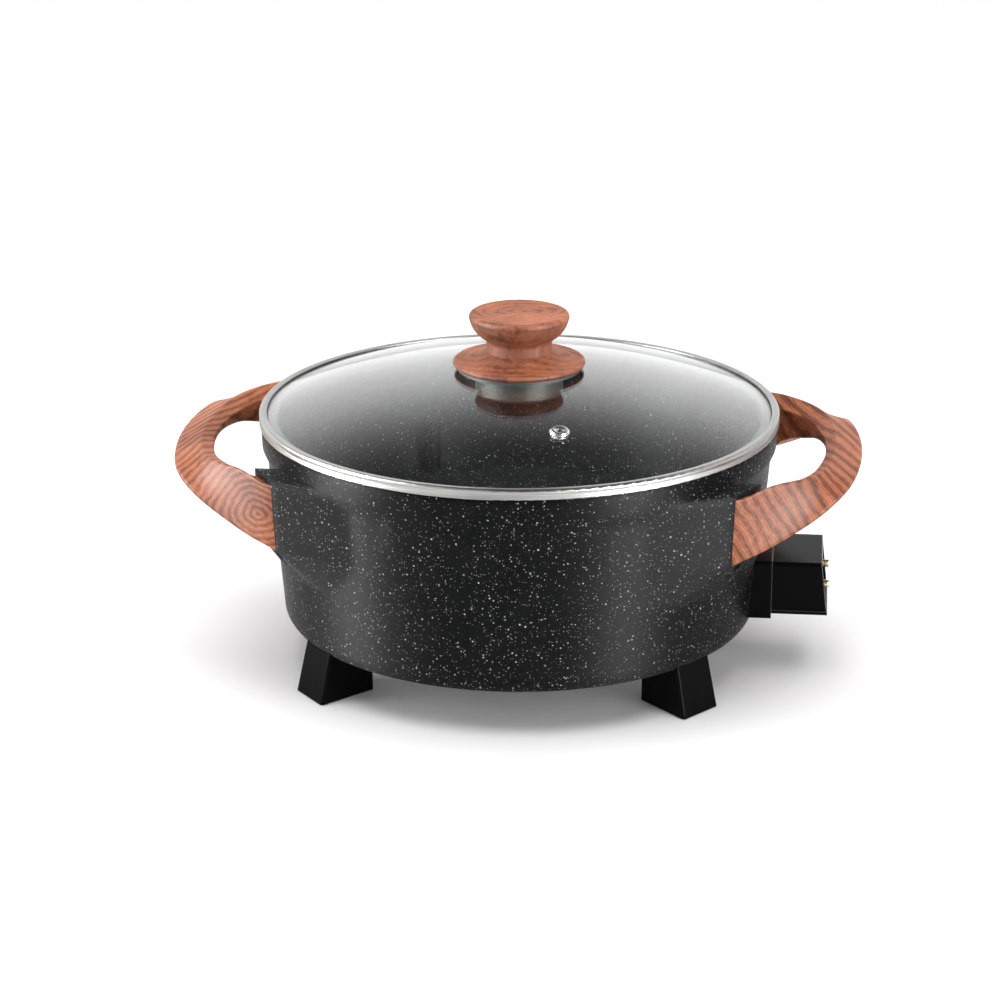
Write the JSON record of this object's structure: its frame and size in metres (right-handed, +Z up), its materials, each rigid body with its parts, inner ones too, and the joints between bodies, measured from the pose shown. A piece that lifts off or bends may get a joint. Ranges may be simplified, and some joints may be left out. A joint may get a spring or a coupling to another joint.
{
  "type": "electric hot pot",
  "caption": "Round stone-coated electric hot pot with wood-look side handles, moulded feet, a two-pin terminal guard and a lift-off domed glass lid with a turned knob.",
  "frame": {"origin": "centre of the footprint at the underside of the feet", "axes": "+X towards the handle above the terminal guard, +Z up along the lift of the lid, front of the pot towards -Y"},
  "size_m": [0.3954, 0.3, 0.2059],
  "materials": {
    "stone_coating": "cast, under a charcoal non-stick coating with pale stone speckle",
    "element_steel": "heat-dulled steel tube",
    "insulator_ceramic": "unglazed",
    "pin_brass": "plain turned",
    "black_moulding": "glossy black phenolic",
    "screw_steel": "zinc plated",
    "cover_steel": "rolled sheet",
    "soft_rubber": "matt silicone",
    "wood_look": "phenolic with printed reddish-brown wood grain",
    "lid_glass": "clear tempered",
    "rim_steel": "satin rolled band",
    "seat_moulding": "dark grey-green speckled"
  },
  "bodies": {
    "pot": {"pot_body": "stone_coating", "heating_element": "element_steel", "element_insulators": "insulator_ceramic", "terminal_pin_front": "pin_brass", "terminal_pin_rear": "pin_brass", "probe_sleeve": "element_steel", "terminal_guard": "black_moulding", "guard_screws": "screw_steel", "bottom_cover": "cover_steel", "cover_screws": "screw_steel", "foot_front_right": "black_moulding", "foot_front_left": "black_moulding", "foot_rear_left": "black_moulding", "foot_rear_right": "black_moulding", "foot_screws": "screw_steel", "foot_pads": "soft_rubber", "handle_right": "wood_look", "handle_left": "wood_look", "handle_screws_right": "screw_steel", "handle_screws_left": "screw_steel"},
    "lid": {"lid_glass": "lid_glass", "lid_rim": "rim_steel", "vent_eyelet": "rim_steel", "knob": "wood_look", "knob_insert": "pin_brass", "knob_gasket": "soft_rubber", "glass_bush": "soft_rubber", "knob_seat": "seat_moulding", "knob_screw": "screw_steel"}
  },
  "joints": [
    {"name": "lid_lift", "type": "slide", "parent": "pot", "child": "lid", "axis": [0, 0, 1], "range_m": [0, 0.12]}
  ]
}
